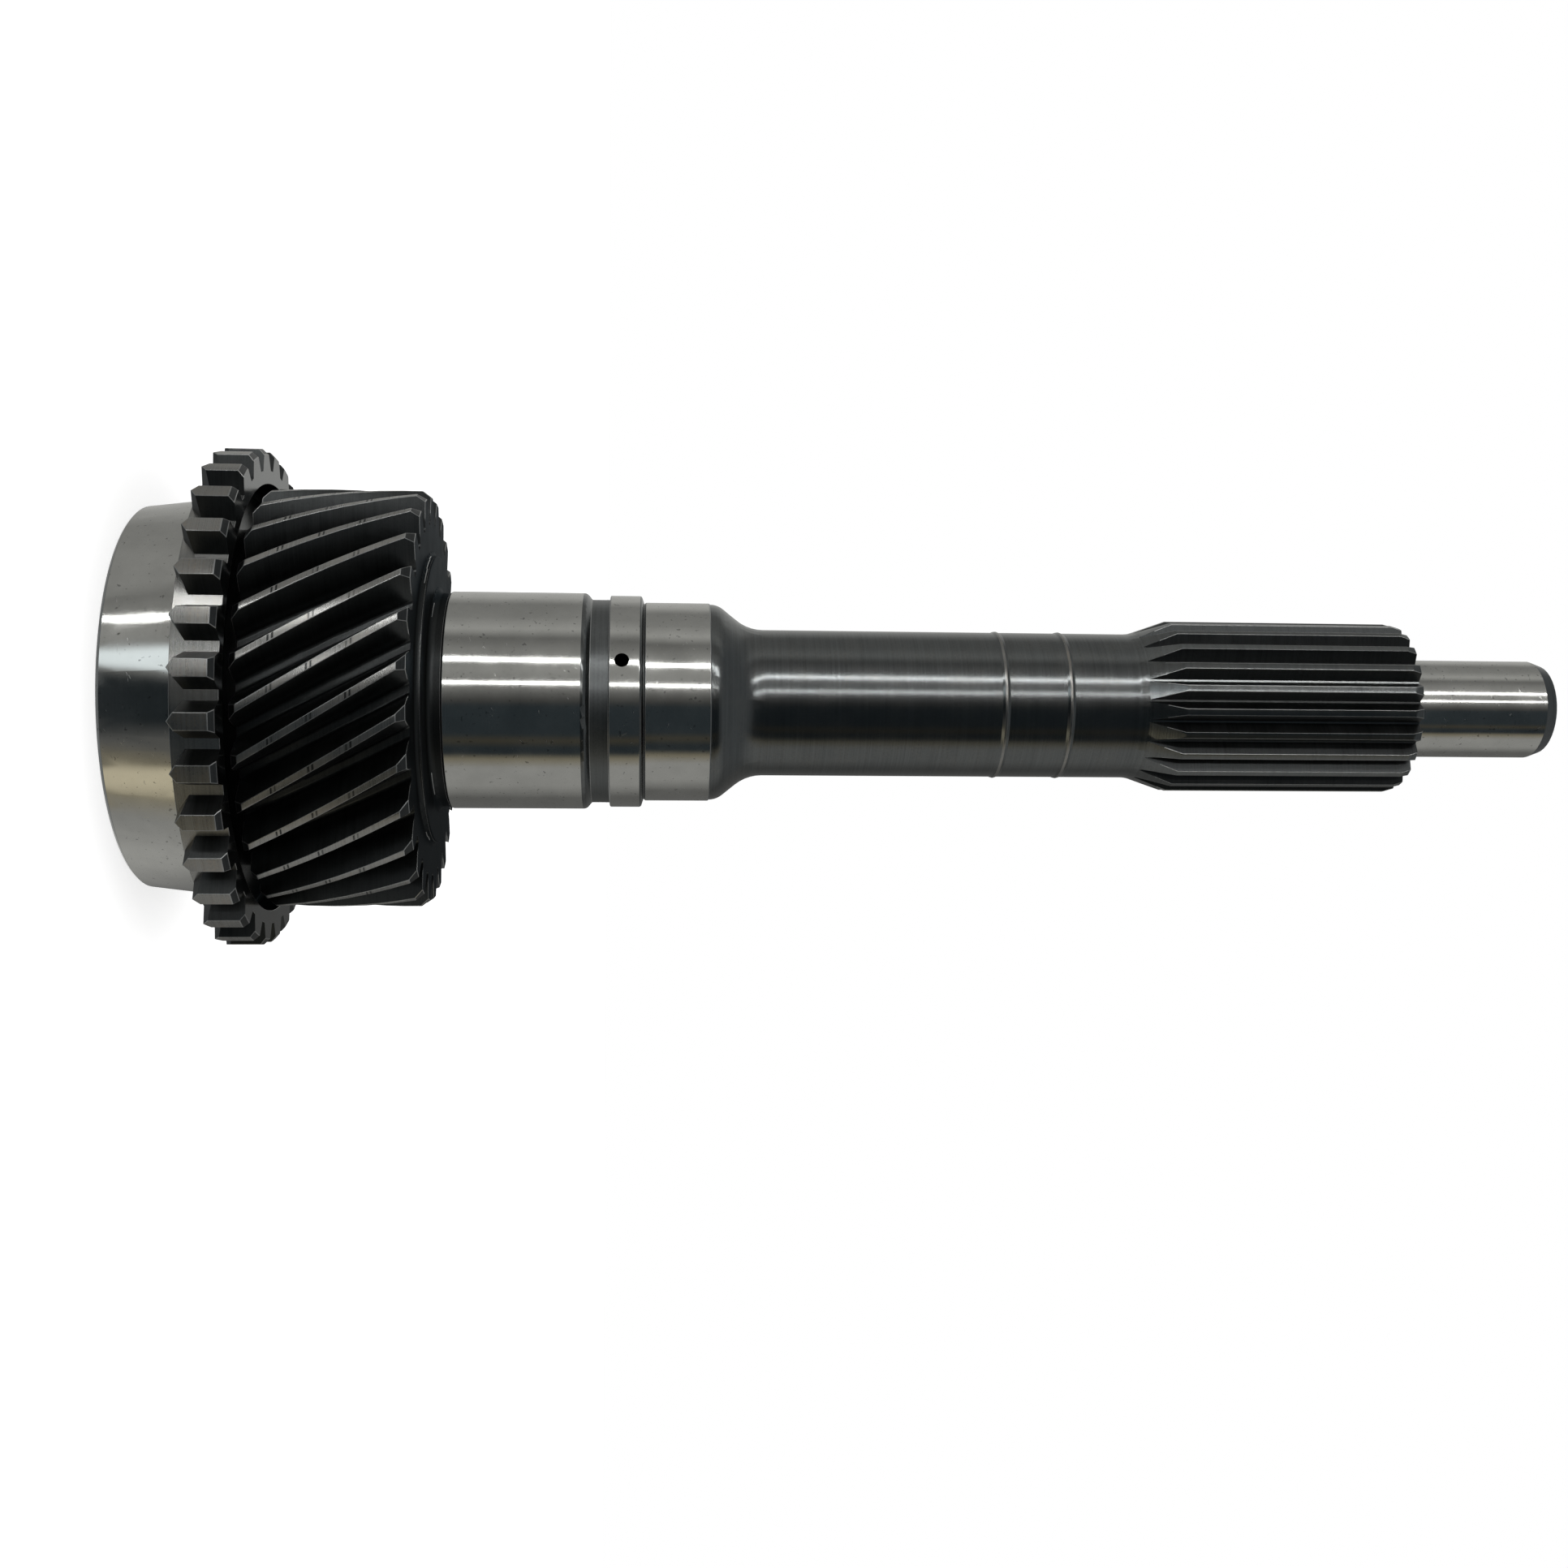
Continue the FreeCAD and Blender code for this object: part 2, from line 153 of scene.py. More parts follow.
class StudioSettings(bpy.types.PropertyGroup):
    """Camera and lights of the studio."""

    lens: FloatProperty(
        name="Lens", description="Focal length of the camera", subtype="DISTANCE_CAMERA",
        min=10.0, max=200.0, default=39.56)
    camera_place: FloatVectorProperty(
        name="Camera place", description="Where the camera stands", subtype="TRANSLATION",
        unit="LENGTH", size=3, default=(0.015198, -0.322497, 0.090862))
    camera_climb: FloatProperty(
        name="Camera climb", description="Angle at which the camera looks up from level",
        subtype="ANGLE", default=math.radians(4.336))
    camera_roll: FloatProperty(
        name="Camera roll", description="Turn of the camera about its line of sight",
        subtype="ANGLE", default=math.radians(90.309))
    strip_power: FloatProperty(
        name="Strip lamp power", description="Power of the stronger strip lamp",
        subtype="POWER", min=0.0, default=2.0)


# Node tools

# Waves per metre of the noises along X, Y and Z; many along Z make rings round the axis
FINE_RINGS = (60.0, 60.0, 9000.0)
BROAD_RINGS = (25.0, 25.0, 2200.0)
DASHES = (420.0, 420.0, 4800.0)
CLOUDS = (160.0, 160.0, 160.0)
BLOTCHES = (210.0, 210.0, 210.0)
SCORE_BREAKS = (330.0, 330.0, 330.0)
GRIT = (1500.0, 1500.0, 1500.0)
GRAIN = (2600.0, 2600.0, 2600.0)

# Turns in radians of the three sets of dashes that make up the nicks
DASH_TURNS = ((0.5, 0.0, 0.3), (-0.9, 0.4, 0.0), (1.4, 0.0, 0.9))

# Spans of noise that the masks spread from nothing to full
SPECK_SPAN = (0.69, 0.76)
NICK_SPAN = (0.76, 0.80)
MIDDLE_SPAN = (0.35, 0.65)
NOTHING_TO_FULL = (0.0, 1.0)
FULL_TO_NOTHING = (1.0, 0.0)


def math_node(tree, operation, first, second=None):
    """Math node fed by links or plain numbers; returns its output."""
    node = tree.nodes.new("ShaderNodeMath")
    node.operation = operation
    for index, value in enumerate((first, second)):
        if value is None:
            continue
        if isinstance(value, (int, float)):
            node.inputs[index].default_value = value
        else:
            tree.links.new(value, node.inputs[index])
    return node.outputs[0]


def blend(tree, first, first_share, second, second_share):
    """Sum of two values, each times its share."""
    return math_node(tree, "ADD", math_node(tree, "MULTIPLY", first, first_share),
                     math_node(tree, "MULTIPLY", second, second_share))


def stretched_noise(tree, coordinates, scale, detail=2.0, roughness=0.5, turn=(0.0, 0.0, 0.0)):
    """Noise over coordinates turned and then scaled by a vector; returns its value."""
    turned = tree.nodes.new("ShaderNodeMapping")
    turned.inputs["Rotation"].default_value = turn
    tree.links.new(coordinates, turned.inputs["Vector"])
    mapping = tree.nodes.new("ShaderNodeMapping")
    mapping.inputs["Scale"].default_value = scale
    tree.links.new(turned.outputs[0], mapping.inputs["Vector"])
    noise = tree.nodes.new("ShaderNodeTexNoise")
    noise.inputs["Scale"].default_value = 1.0
    noise.inputs["Detail"].default_value = detail
    noise.inputs["Roughness"].default_value = roughness
    tree.links.new(mapping.outputs[0], noise.inputs["Vector"])
    return noise.outputs["Fac"]


def ranged(tree, value, span, result=NOTHING_TO_FULL):
    """Maps a value from one span to another, clamped; returns the result."""
    node = tree.nodes.new("ShaderNodeMapRange")
    tree.links.new(value, node.inputs["Value"])
    for name, number in zip(("From Min", "From Max", "To Min", "To Max"), span + result):
        node.inputs[name].default_value = number
    return node.outputs["Result"]


def mixed(tree, factor, first, second):
    """Mixes two colours by a factor; returns the colour."""
    node = tree.nodes.new("ShaderNodeMix")
    node.data_type = "RGBA"
    tree.links.new(factor, node.inputs["Factor"])
    for name, value in (("A", first), ("B", second)):
        target = [item for item in node.inputs if item.name == name and item.type == "RGBA"][0]
        if isinstance(value, bpy.types.NodeSocket):
            tree.links.new(value, target)
        else:
            target.default_value = value
    return [item for item in node.outputs if item.type == "RGBA"][0]


def values_group(name, values):
    """New node group from coordinates to named values; returns it, its coordinates and its end."""
    group = bpy.data.node_groups.new(name, "ShaderNodeTree")
    group.interface.new_socket(name="Coordinates", in_out="INPUT", socket_type="NodeSocketVector")
    for value in values:
        group.interface.new_socket(name=value, in_out="OUTPUT", socket_type="NodeSocketFloat")
    place = group.nodes.new("NodeGroupInput").outputs["Coordinates"]
    return group, place, group.nodes.new("NodeGroupOutput")


def lathe_marks_group(name):
    """Rings left by turning or grinding round the Z axis, clouds, small specks and nicks."""
    group, place, end = values_group(name, ("Rings", "Clouds", "Specks", "Nicks"))
    rings = blend(group, stretched_noise(group, place, FINE_RINGS), 0.6,
                  stretched_noise(group, place, BROAD_RINGS), 0.4)
    clouds = stretched_noise(group, place, CLOUDS, 4.0, 0.6)
    specks = ranged(group, stretched_noise(group, place, GRIT, 1.0), SPECK_SPAN)
    nicks = None
    for turn in DASH_TURNS:
        noise = stretched_noise(group, place, DASHES, 1.0, 0.5, turn)
        dashes = ranged(group, noise, NICK_SPAN)
        nicks = dashes if nicks is None else math_node(group, "MAXIMUM", nicks, dashes)
    for value, output in ((rings, "Rings"), (clouds, "Clouds"), (specks, "Specks"),
                          (nicks, "Nicks")):
        group.links.new(value, end.inputs[output])


def skin_group(name):
    """Skin of hardened steel: fine grain and blotches."""
    group, place, end = values_group(name, ("Grain", "Blotches"))
    grain = stretched_noise(group, place, GRAIN, 2.0, 0.6)
    blotches = stretched_noise(group, place, BLOTCHES, 3.0, 0.55)
    group.links.new(grain, end.inputs["Grain"])
    group.links.new(blotches, end.inputs["Blotches"])


def scored_rings_group(name):
    """Mask of the thin double rings scored round the gear's crests."""
    group, place, end = values_group(name, ("Score",))
    split = group.nodes.new("ShaderNodeSeparateXYZ")
    group.links.new(place, split.inputs[0])
    total = None
    for ring in SCORED_RINGS:
        for side in (-0.35, 0.35):
            offset = math_node(group, "SUBTRACT", split.outputs["Z"], (ring + side) * MM)
            near = math_node(group, "ABSOLUTE", offset)
            line = ranged(group, near, (0.00010, 0.00021), FULL_TO_NOTHING)
            total = line if total is None else math_node(group, "MAXIMUM", total, line)
    breaks = stretched_noise(group, place, SCORE_BREAKS, 1.0)
    worn = math_node(group, "MULTIPLY", total, ranged(group, breaks, (0.35, 0.6), (0.45, 1.0)))
    group.links.new(worn, end.inputs["Score"])


def placed_group(tree, name, make, coordinates):
    """Puts a shared node group, made at its first use, in a material and feeds it coordinates."""
    if name not in bpy.data.node_groups:
        make(name)
    node = tree.nodes.new("ShaderNodeGroup")
    node.node_tree = bpy.data.node_groups[name]
    tree.links.new(coordinates, node.inputs["Coordinates"])
    return node.outputs


def object_place(tree):
    """Coordinates of the object itself."""
    return tree.nodes.new("ShaderNodeTexCoord").outputs["Object"]


def seen_rays(tree):
    """Mask of the rays that reach the camera straight or through a clear film."""
    rays = tree.nodes.new("ShaderNodeLightPath").outputs
    return math_node(tree, "MAXIMUM", rays["Is Camera Ray"], rays["Is Transmission Ray"])


# Metals

# Tint that dims the grazing reflection of the faces painted dark as shade
PAINTED_SHADE_TINT = (0.36, 0.38, 0.40, 1.0)

# Slots of every piece, in order
SLOTS = ("Hardened steel", "Ground steel", "Tooth crests", "Turned faces", "Tooth flanks",
         "Worn edges", "Turned grooves", "Gear crests", "Tooth roots", "Dark faces")
HARDENED, GROUND, CREST, FACE, SHADED_FLANK, EDGE, GROOVE, GEAR_CREST, ROOT, SHADED_FACE = range(10)

# Dark steels: colour, its shade, span of roughness, depth of the rings in metres, tint of blotches
NO_TINT = (1.0, 1.0, 1.0)
DARK_STEELS = {
    "Hardened steel": ("hardened_colour", 1.0, (0.15, 0.21), 0.00003, (1.05, 1.0, 0.95)),
    "Tooth crests": ("crest_colour", 1.0, (0.25, 0.32), 0.000005, (1.12, 1.0, 0.88)),
    "Turned faces": ("face_colour", 1.0, (0.30, 0.38), 0.0, (1.0, 1.0, 0.98)),
    # Sides of the gear teeth, dog teeth and splines: hardened steel darkened as painted shade
    # between the teeth
    "Tooth flanks": ("hardened_colour", 0.4, (0.30, 0.42), 0.0, NO_TINT),
    # Bevelled edges: lighter for real wear and for a painted edge highlight
    "Worn edges": ("edge_colour", 1.0, (0.30, 0.42), 0.0, NO_TINT),
    "Turned grooves": ("hardened_colour", 0.95, (0.30, 0.40), 0.00002, NO_TINT),
    "Gear crests": ("crest_colour", 1.2, (0.25, 0.32), 0.000004, (1.08, 1.0, 0.92)),
    "Tooth roots": ("root_colour", 1.0, (0.20, 0.28), 0.00001, (1.04, 1.0, 0.93)),
    # Gear end faces, boss, neck and the ring's recess: hardened steel darkened to about a quarter
    # as painted shade
    "Dark faces": ("hardened_colour", 0.26, (0.36, 0.44), 0.00001, NO_TINT),
}


def new_metal(name):
    """Metal material; returns its tree, its shader's inputs and the object's coordinates."""
    material = bpy.data.materials.new(name)
    material.use_nodes = True
    tree = material.node_tree
    inputs = tree.nodes["Principled BSDF"].inputs
    inputs["Metallic"].default_value = 1.0
    return tree, inputs, object_place(tree)


def bumped(tree, inputs, height, strength, distance):
    """Feeds a height into a bump on the shader's normal."""
    bump = tree.nodes.new("ShaderNodeBump")
    bump.inputs["Strength"].default_value = strength
    bump.inputs["Distance"].default_value = distance
    tree.links.new(height, bump.inputs["Height"])
    tree.links.new(bump.outputs["Normal"], inputs["Normal"])


def shade(colour, factor):
    """A colour made darker or lighter, with full alpha."""
    return tuple(min(1.0, channel * factor) for channel in colour) + (1.0,)


def ground_steel(finish):
    """Bright ground steel: fine rings, faint clouds, small specks and nicks."""
    tree, inputs, place = new_metal("Ground steel")
    marks = placed_group(tree, "Lathe marks", lathe_marks_group, place)
    tint = mixed(tree, ranged(tree, marks["Clouds"], MIDDLE_SPAN),
                 shade(finish.ground_colour, 0.93), shade(finish.ground_colour, 1.04))
    colour = mixed(tree, marks["Specks"], tint, shade(finish.ground_colour, 0.55))
    tree.links.new(colour, inputs["Base Color"])
    smooth = ranged(tree, marks["Clouds"], (0.3, 0.7), (0.09, 0.14))
    rough = math_node(tree, "ADD", smooth, math_node(tree, "MULTIPLY", marks["Nicks"], 0.2))
    tree.links.new(rough, inputs["Roughness"])
    height = math_node(tree, "SUBTRACT", marks["Rings"], marks["Nicks"])
    bumped(tree, inputs, height, 0.25, 0.00001)


def dark_steel(finish, name):
    """Dark or matt steel with a grainy skin, turned rings and warmer blotches."""
    colour_name, level, roughness, ring_depth, warmth = DARK_STEELS[name]
    colour = shade(getattr(finish, colour_name), level)[:3]
    warm = tuple(channel * tone for channel, tone in zip(colour, warmth))
    tree, inputs, place = new_metal(name)
    marks = placed_group(tree, "Lathe marks", lathe_marks_group, place)
    skin = placed_group(tree, "Hardened skin", skin_group, place)
    base = mixed(tree, ranged(tree, skin["Blotches"], (0.38, 0.62)),
                 shade(colour, 0.9), shade(warm, 1.1))
    freckled = mixed(tree, ranged(tree, skin["Grain"], (0.35, 0.7)), base, shade(colour, 0.8))
    streaked = mixed(tree, ranged(tree, marks["Rings"], MIDDLE_SPAN), freckled,
                     shade(colour, 1.16))
    tree.links.new(streaked, inputs["Base Color"])
    spread = blend(tree, skin["Blotches"], 0.5, marks["Rings"], 0.5)
    tree.links.new(ranged(tree, spread, MIDDLE_SPAN, roughness), inputs["Roughness"])
    if ring_depth:
        height = math_node(tree, "ADD", marks["Rings"],
                           math_node(tree, "MULTIPLY", skin["Grain"], 0.06))
        bumped(tree, inputs, height, 0.5, ring_depth)
    else:
        bumped(tree, inputs, skin["Grain"], 0.35, 0.00001)


def score_rings(finish, tree):
    """Darkens the scored rings in the base colour of a material."""
    inputs = tree.nodes["Principled BSDF"].inputs
    score = placed_group(tree, "Scored rings", scored_rings_group, object_place(tree))["Score"]
    plain = inputs["Base Color"].links[0].from_socket
    scored = mixed(tree, score, plain, shade(finish.hardened_colour, 0.35))
    tree.links.new(scored, inputs["Base Color"])


def add_metals(finish, piece):
    """Gives a piece every metal in slot order; the metals are made at their first use."""
    if SLOTS[0] not in bpy.data.materials:
        ground_steel(finish)
        for name in DARK_STEELS:
            dark_steel(finish, name)
        score_rings(finish, bpy.data.materials["Gear crests"].node_tree)
        # The faces in painted shade also reflect less at a grazing angle
        shaded_faces_shader = bpy.data.materials["Dark faces"].node_tree.nodes["Principled BSDF"]
        shaded_faces_shader.inputs["Specular Tint"].default_value = PAINTED_SHADE_TINT
    for name in SLOTS:
        piece.data.materials.append(bpy.data.materials[name])


# Mesh tools

def radius_mm(point):
    """Distance from the shaft's axis in mm."""
    return math.hypot(point[0], point[1]) / MM


def height_mm(point):
    """Height above the clutch ring's end face in mm."""
    return point[2] / MM


def within(value, span):
    """Whether a value lies between the two ends of a span."""
    return span[0] < value < span[1]


def outward(place, normal):
    """Share of a normal that points away from the shaft's axis."""
    away = Vector((place[0], place[1], 0.0))
    return normal.dot(away.normalized()) if away.length > 0.0 else 0.0


def copy_node(node_name, piece_name):
    """Copies a CAD node into a piece of its own, merged into one closed mesh with plain faces."""
    bpy.ops.object.select_all(action="DESELECT")
    node = frame["nodes"][node_name]
    node.select_set(True)
    bpy.context.view_layer.objects.active = node
    bpy.ops.object.duplicate()
    piece = bpy.context.view_layer.objects.active
    piece.name = piece_name
    piece.data.name = piece_name
    piece.data.materials.clear()
    bpy.ops.object.mode_set(mode="EDIT")
    bpy.ops.mesh.select_all(action="SELECT")
    bpy.ops.mesh.remove_doubles(threshold=MERGE_DISTANCE)
    bpy.ops.mesh.select_all(action="SELECT")
    bpy.ops.mesh.customdata_custom_splitnormals_clear()
    bpy.ops.mesh.dissolve_limited(angle_limit=math.radians(FLAT_ANGLE), delimit=set())
    bpy.ops.mesh.tris_convert_to_quads(face_threshold=math.radians(QUAD_ANGLE))
    bpy.ops.object.mode_set(mode="OBJECT")
    return piece


def break_edges(piece, wanted, width):
    """Bevels the sharp edges that a test on their two ends picks."""
    bpy.ops.object.mode_set(mode="EDIT")
    bpy.ops.mesh.select_mode(type="EDGE")
    bpy.ops.mesh.select_all(action="DESELECT")
    mesh = bmesh.from_edit_mesh(piece.data)
    sharp = [edge for edge in mesh.edges if len(edge.link_faces) == 2
             and edge.calc_face_angle(0.0) >= math.radians(SHARP_ANGLE)]
    picked = [edge for edge in sharp if wanted(edge.verts[0].co, edge.verts[1].co)]
    if not picked:
        raise RuntimeError("no edge to break on " + piece.name)
    for edge in picked:
        edge.select_set(True)
    bmesh.update_edit_mesh(piece.data)
    # The bevels take the lighter edge colour, part wear and part painted highlight
    bpy.ops.mesh.bevel(offset=width, segments=BEVEL_SEGMENTS, profile=0.5, affect="EDGES",
                       clamp_overlap=False, material=EDGE)
    bpy.ops.object.mode_set(mode="OBJECT")


def paint_faces(piece, choose):
    """Gives every face but the broken edges the slot that a rule on place and normal chooses."""
    for face in piece.data.polygons:
        if face.material_index != EDGE:
            face.material_index = choose(face.center, face.normal)


def finish_piece(piece, node_name):
    """Shades a piece, rides it on the body and lets it stand for its CAD node."""
    bpy.ops.object.select_all(action="DESELECT")
    piece.select_set(True)
    bpy.context.view_layer.objects.active = piece
    bpy.ops.object.shade_smooth_by_angle(angle=math.radians(SMOOTH_ANGLE))
    bpy.ops.object.modifier_add(type="WEIGHTED_NORMAL")
    piece.modifiers[-1].keep_sharp = True
    piece.modifiers[-1].weight = 50
    bpy.ops.object.modifier_apply(modifier=piece.modifiers[-1].name)
    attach(piece, "root")
    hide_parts(node_name)


# Clutch ring

def ring_tooth_edge(first, second):
    """Edges of the dog teeth above their roots."""
    return min(radius_mm(first), radius_mm(second)) > DOG_FOOT_R


def ring_round_edge(first, second):
    """Circular edges of the cone, the root drum and the recess."""
    level = abs(height_mm(first) - height_mm(second)) < SAME
    outside = min(radius_mm(first), radius_mm(second)) > HUB_R
    low = max(radius_mm(first), radius_mm(second)) < DOG_DRUM_R[1]
    return level and outside and low and height_mm(first) != RING_FACE


def ring_finish(place, normal):
    """Slot of a face of the clutch ring."""
    radius = radius_mm(place)
    height = height_mm(place)
    crest = outward(place, normal) > CREST_OUT
    if abs(normal.z) > END_FACE:
        return FACE if height < CONE_FACE_TOP else HARDENED
    if height < CONE_END and within(radius, CONE_R):
        return GROUND
    if radius > DOG_CREST_FROM_R and crest:
        return CREST
    if radius > DOG_DRUM_R[0]:
        # Sides of the dog teeth are painted in shade
        return ROOT if crest else SHADED_FLANK
    if radius < RING_BORE_R:
        return GROUND
    # The recess walls behind the ring's face are painted in shade
    return SHADED_FACE if height > RING_FACE else HARDENED


class SHAFT_OT_clutch_ring(bpy.types.Operator):
    """Make the clutch ring: synchroniser cone with its ring of dog teeth."""

    bl_idname = "shaft.clutch_ring"
    bl_label = "Clutch Ring"

    def execute(self, context):
        finish = context.scene.shaft_finish
        piece = copy_node("clutch_ring", "synchro_clutch_ring")
        add_metals(finish, piece)
        break_edges(piece, ring_tooth_edge, finish.tooth_edge)
        break_edges(piece, ring_round_edge, finish.turned_edge)
        paint_faces(piece, ring_finish)
        finish_piece(piece, "clutch_ring")
        return {"FINISHED"}


# Input shaft

def gear_tooth_edge(first, second):
    """Edges of the gear teeth above their root fillets."""
    on_gear = within(height_mm(first), GEAR_REACH)
    return on_gear and min(radius_mm(first), radius_mm(second)) > GEAR_FILLET_R


def spline_edge(first, second):
    """Crest edges of the splines."""
    on_splines = within(height_mm(first), SPLINE_REACH)
    return on_splines and min(radius_mm(first), radius_mm(second)) > SPLINE_EDGE_R


def turned_edge(first, second):
    """Circular edges of the seats, lands and shoulders."""
    level = abs(height_mm(first) - height_mm(second)) < SAME
    even = abs(radius_mm(first) - radius_mm(second)) < SAME
    beyond = height_mm(first) > TURNED_FROM
    return level and even and beyond and not within(height_mm(first), SPLINE_REACH)


def shaft_finish_of(place, normal):
    """Slot of a face of the shaft."""
    radius = radius_mm(place)
    height = height_mm(place)
    along = abs(normal.z)
    out = outward(place, normal)
    if height < GEAR_TOP and radius > GEAR_DRUM_R:
        if along > END_FACE:
            # The gear's end faces are painted in shade
            return SHADED_FACE
        # Sides of the gear teeth are painted in shade
        return GEAR_CREST if out > CREST_OUT and radius > GEAR_CREST_FROM_R else SHADED_FLANK
    if height < GEAR_FRONT:
        if along > HUB_FACE:
            return FACE
        return GROUND if radius < HUB_R else HARDENED
    if height < SEAT_START:
        # The boss and neck before the seat are painted in shade
        return SHADED_FACE
    if radius < OIL_PASSAGE_R:
        return HARDENED
    for wall in ((SEAT_START, SEAT_TOP), (STEP_START, STEP_END), (SEAL_START, SEAL_END),
                 (TIP_START, TIP_END)):
        if within(height, wall) and along < WALL:
            return GROUND
    if within(height, (GROOVE_START, STEP_START)):
        return GROOVE
    if within(radius, BEAD_R) and within(height, BEADS):
        return CREST
    if within(height, (RAMP_START, SPLINE_SHOULDER)):
        # Sides of the splines are painted in shade
        return HARDENED if out > SPLINE_OUT else SHADED_FLANK
    return HARDENED


class SHAFT_OT_input_shaft(bpy.types.Operator):
    """Make the shaft with its helical gear, seats, shank, splines and pilot tip."""

    bl_idname = "shaft.input_shaft"
    bl_label = "Input Shaft"

    def execute(self, context):
        finish = context.scene.shaft_finish
        piece = copy_node("input_shaft", "geared_input_shaft")
        add_metals(finish, piece)
        break_edges(piece, gear_tooth_edge, finish.tooth_edge)
        break_edges(piece, spline_edge, finish.turned_edge)
        break_edges(piece, turned_edge, finish.turned_edge)
        paint_faces(piece, shaft_finish_of)
        finish_piece(piece, "input_shaft")
        return {"FINISHED"}


# Studio

WHITE = (1.0, 1.0, 1.0, 1.0)
SHEET = (0.86, 0.86, 0.86, 1.0)
SHEET_GLOW = 0.6
FLOOR_SIZE = 6.0
FILL_STRENGTH = 0.75
SENSOR_WIDTH = 36.0
CLIP_START = 0.01

# Strip lamps: degrees from -Y towards +X, middle, width, length, lean in degrees, share of power
LAMP_DISTANCE = 0.9
STRIPS = {
    "upper_strip": (-39.0, 0.13, 0.045, 1.4, -7.2, 1.0),
    "lower_strip": (-15.5, 0.27, 0.03, 1.0, 0.0, 0.4),
}

# Tints of the room
NEUTRAL = (1.0, 1.0, 0.97)
WARM = (1.0, 0.9, 0.66)
COLD = (0.72, 0.95, 1.1)
PALE = (0.90, 0.98, 1.02)

# Room that the metal reflects, by direction: degrees from -Y towards +X, level and tint.
# ROOM is met near level, LOW_ROOM below LOW_SPAN, and OVERHEAD where it is steeper than STEEP_SPAN.
ROOM = (
    (-180, 0.14, NEUTRAL), (-173, 0.50, NEUTRAL), (-137, 0.46, NEUTRAL), (-120, 0.25, NEUTRAL),
    (-95, 0.29, NEUTRAL), (-78, 0.44, NEUTRAL), (-66, 0.17, NEUTRAL), (-52, 0.28, NEUTRAL),
    (-30, 0.36, NEUTRAL), (-12, 0.25, NEUTRAL), (-4, 0.13, NEUTRAL), (3, 0.06, NEUTRAL),
    (8, 0.036, COLD), (38, 0.036, COLD), (45, 0.06, WARM), (53, 0.033, COLD), (60, 0.033, COLD),
    (67, 0.25, WARM), (78, 0.36, NEUTRAL), (104, 0.34, NEUTRAL), (128, 0.15, NEUTRAL),
    (180, 0.12, NEUTRAL),
)
LOW_ROOM = (
    (-180, 0.30, NEUTRAL), (-100, 0.30, NEUTRAL), (-68, 0.34, NEUTRAL), (-60, 0.22, NEUTRAL),
    (-42, 0.40, NEUTRAL), (-30, 0.30, NEUTRAL), (-25, 1.3, PALE), (-17, 1.3, PALE),
    (-13, 0.22, NEUTRAL), (-7, 0.022, COLD), (17, 0.02, COLD), (30, 0.12, NEUTRAL),
    (42, 0.20, WARM), (47, 0.70, WARM), (59, 0.68, WARM), (66, 0.30, WARM),
    (78, 0.32, NEUTRAL), (92, 0.36, NEUTRAL), (120, 0.52, NEUTRAL), (180, 0.44, NEUTRAL),
)
OVERHEAD = (0.19, 0.20, 0.205, 1.0)
LOW_SPAN = (-0.26, -0.43)
STEEP_SPAN = (0.5, 0.85)


def pale_sheet():
    """Makes the floor's white material, which keeps the object's shadow; returns it."""
    material = bpy.data.materials.new("Pale sheet")
    material.use_nodes = True
    tree = material.node_tree
    inputs = tree.nodes["Principled BSDF"].inputs
    inputs["Base Color"].default_value = SHEET
    inputs["Roughness"].default_value = 0.9
    inputs["Specular IOR Level"].default_value = 0.0
    inputs["Emission Color"].default_value = WHITE
    glow = math_node(tree, "MULTIPLY", seen_rays(tree), SHEET_GLOW)
    tree.links.new(glow, inputs["Emission Strength"])
    return material


def level_ring(tree, turn, stops):
    """Colour ramp round the horizon from (degrees, level, tint) stops; returns its colour."""
    ramp = tree.nodes.new("ShaderNodeValToRGB")
    tree.links.new(turn, ramp.inputs["Fac"])
    ramp.color_ramp.elements.remove(ramp.color_ramp.elements[-1])
    element = ramp.color_ramp.elements[0]
    for degrees, level, tint in stops:
        position = (degrees + 180.0) / 360.0
        if degrees > -180.0:
            element = ramp.color_ramp.elements.new(position)
        element.position = position
        element.color = tuple(level * channel for channel in tint) + (1.0,)
    return ramp.outputs["Color"]


def room_colour(tree):
    """Colour of the room in the direction that a ray goes."""
    direction = tree.nodes.new("ShaderNodeTexCoord").outputs["Generated"]
    split = tree.nodes.new("ShaderNodeSeparateXYZ")
    tree.links.new(direction, split.inputs[0])
    toward = math_node(tree, "MULTIPLY", split.outputs["Y"], -1.0)
    angle = math_node(tree, "ARCTAN2", split.outputs["X"], toward)
    turn = ranged(tree, angle, (-math.pi, math.pi))
    low = ranged(tree, split.outputs["Z"], LOW_SPAN)
    around = mixed(tree, low, level_ring(tree, turn, ROOM), level_ring(tree, turn, LOW_ROOM))
    steep = math_node(tree, "ABSOLUTE", split.outputs["Z"])
    return mixed(tree, ranged(tree, steep, STEEP_SPAN), around, OVERHEAD)


def background(tree, strength):
    """White background of a strength; returns its node."""
    node = tree.nodes.new("ShaderNodeBackground")
    node.inputs["Color"].default_value = WHITE
    node.inputs["Strength"].default_value = strength
    return node


def chosen(tree, factor, first, second):
    """Takes the second shader where the factor is 1, else the first; returns its output."""
    node = tree.nodes.new("ShaderNodeMixShader")
    for index, link in enumerate((factor, first, second)):
        tree.links.new(link, node.inputs[index])
    return node.outputs[0]


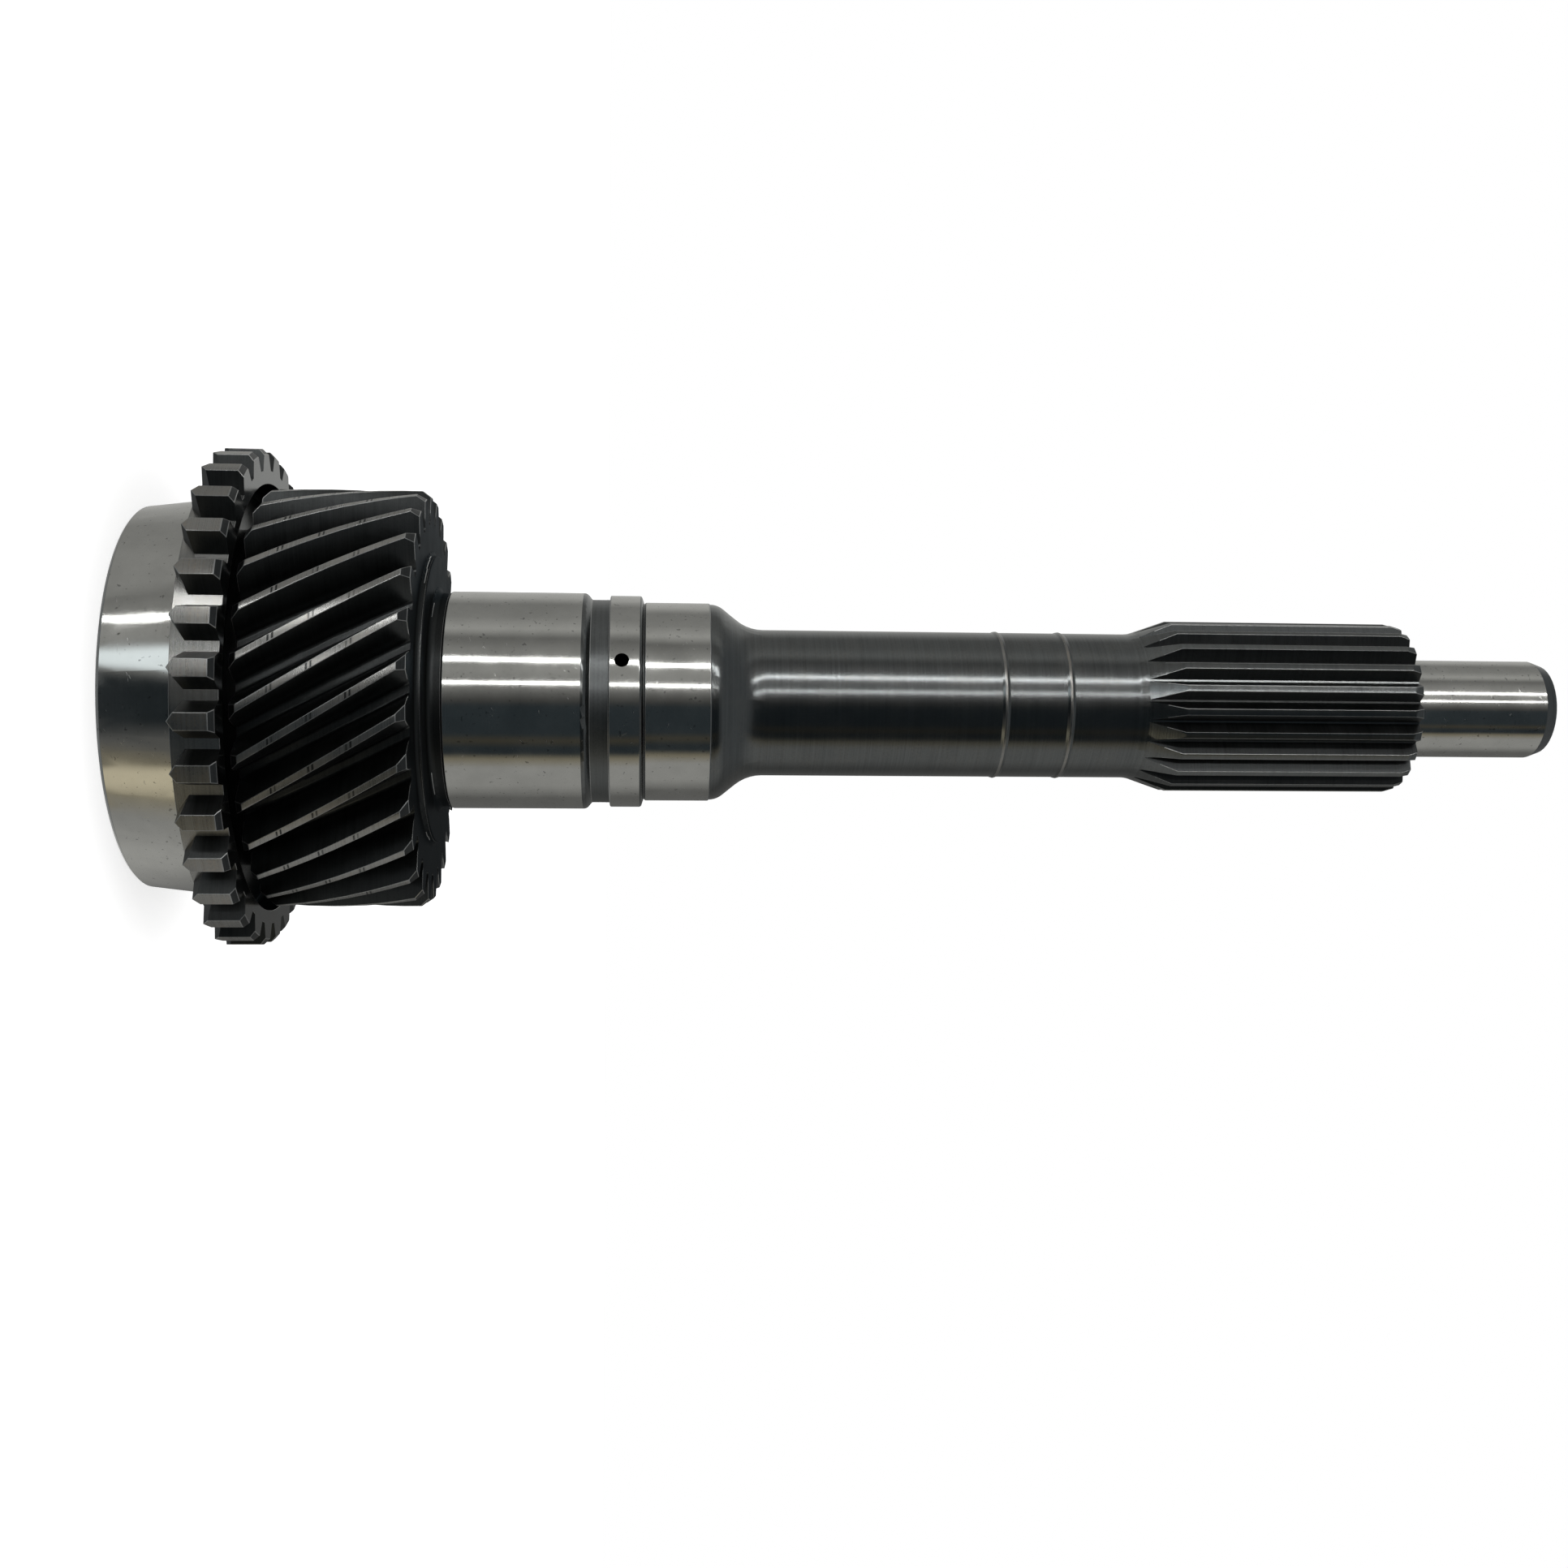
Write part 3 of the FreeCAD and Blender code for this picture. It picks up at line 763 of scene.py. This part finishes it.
def studio_world():
    """World that is white to the camera, even fill to matt surfaces and a room to the metal."""
    world = bpy.data.worlds.new("Studio room")
    bpy.context.scene.world = world
    world.use_nodes = True
    tree = world.node_tree
    tree.nodes.clear()
    room = background(tree, 1.0)
    tree.links.new(room_colour(tree), room.inputs["Color"])
    glossy = tree.nodes.new("ShaderNodeLightPath").outputs["Is Glossy Ray"]
    lit = chosen(tree, glossy, background(tree, FILL_STRENGTH).outputs[0], room.outputs[0])
    surface = chosen(tree, seen_rays(tree), lit, background(tree, 1.0).outputs[0])
    tree.links.new(surface, tree.nodes.new("ShaderNodeOutputWorld").inputs["Surface"])


def strip_lamp(name, strip_power):
    """Tall strip lamp that faces the shaft's axis."""
    azimuth, middle, width, length, lean, share = STRIPS[name]
    lamp = bpy.data.lights.new(name, "AREA")
    lamp.shape = "RECTANGLE"
    lamp.size = width
    lamp.size_y = length
    lamp.energy = strip_power * share
    holder = bpy.data.objects.new(name, lamp)
    bpy.context.scene.collection.objects.link(holder)
    turn = math.radians(azimuth)
    holder.location = (LAMP_DISTANCE * math.sin(turn), -LAMP_DISTANCE * math.cos(turn), middle)
    aim = Vector((0.0, 0.0, middle)) - holder.location
    holder.rotation_euler = aim.to_track_quat("-Z", "Y").to_euler()
    holder.rotation_euler.rotate_axis("Z", math.radians(lean))


def studio_camera(settings):
    """Camera on its side, looking along Y at the shaft."""
    camera = bpy.data.cameras.new("camera")
    holder = bpy.data.objects.new("camera", camera)
    bpy.context.scene.collection.objects.link(holder)
    camera.lens = settings.lens
    camera.sensor_width = SENSOR_WIDTH
    camera.clip_start = CLIP_START
    holder.location = settings.camera_place
    holder.rotation_mode = "ZYX"
    holder.rotation_euler = (math.radians(90.0) + settings.camera_climb, 0.0,
                             settings.camera_roll)
    bpy.context.scene.camera = holder


class SHAFT_OT_studio(bpy.types.Operator):
    """Set the pale floor, the room, the strip lamps and the camera."""

    bl_idname = "shaft.studio"
    bl_label = "Studio"

    def execute(self, context):
        settings = context.scene.studio_settings
        bpy.ops.object.select_all(action="DESELECT")
        bpy.ops.mesh.primitive_plane_add(size=FLOOR_SIZE, location=(0.0, 0.0, 0.0))
        floor = context.view_layer.objects.active
        floor.name = "pale_floor"
        floor.data.materials.append(pale_sheet())
        floor.visible_glossy = False
        studio_world()
        for name in STRIPS:
            strip_lamp(name, settings.strip_power)
        studio_camera(settings)
        context.scene.view_settings.view_transform = "Standard"
        return {"FINISHED"}


class SHAFT_PT_panel(bpy.types.Panel):
    """Sidebar panel with the settings and a button for each piece and the studio."""

    bl_label = "Input Shaft"
    bl_idname = "SHAFT_PT_panel"
    bl_space_type = "VIEW_3D"
    bl_region_type = "UI"
    bl_category = "Input Shaft"

    def draw(self, context):
        layout = self.layout
        for settings in (context.scene.shaft_finish, context.scene.studio_settings):
            for name in settings.__annotations__:
                layout.prop(settings, name)
        for operator in OPERATORS:
            layout.operator(operator.bl_idname)


OPERATORS = (SHAFT_OT_clutch_ring, SHAFT_OT_input_shaft, SHAFT_OT_studio)
CLASSES = (ShaftFinish, StudioSettings) + OPERATORS + (SHAFT_PT_panel,)


def register():
    """Registers the classes and the settings on the scene."""
    for item in CLASSES:
        bpy.utils.register_class(item)
    bpy.types.Scene.shaft_finish = PointerProperty(type=ShaftFinish)
    bpy.types.Scene.studio_settings = PointerProperty(type=StudioSettings)


def unregister():
    """Takes the classes and the settings away again."""
    del bpy.types.Scene.studio_settings
    del bpy.types.Scene.shaft_finish
    for item in reversed(CLASSES):
        bpy.utils.unregister_class(item)


def main():
    """Makes every piece and the studio."""
    register()
    bpy.ops.shaft.clutch_ring()
    bpy.ops.shaft.input_shaft()
    bpy.ops.shaft.studio()


if __name__ == "__main__":
    main()
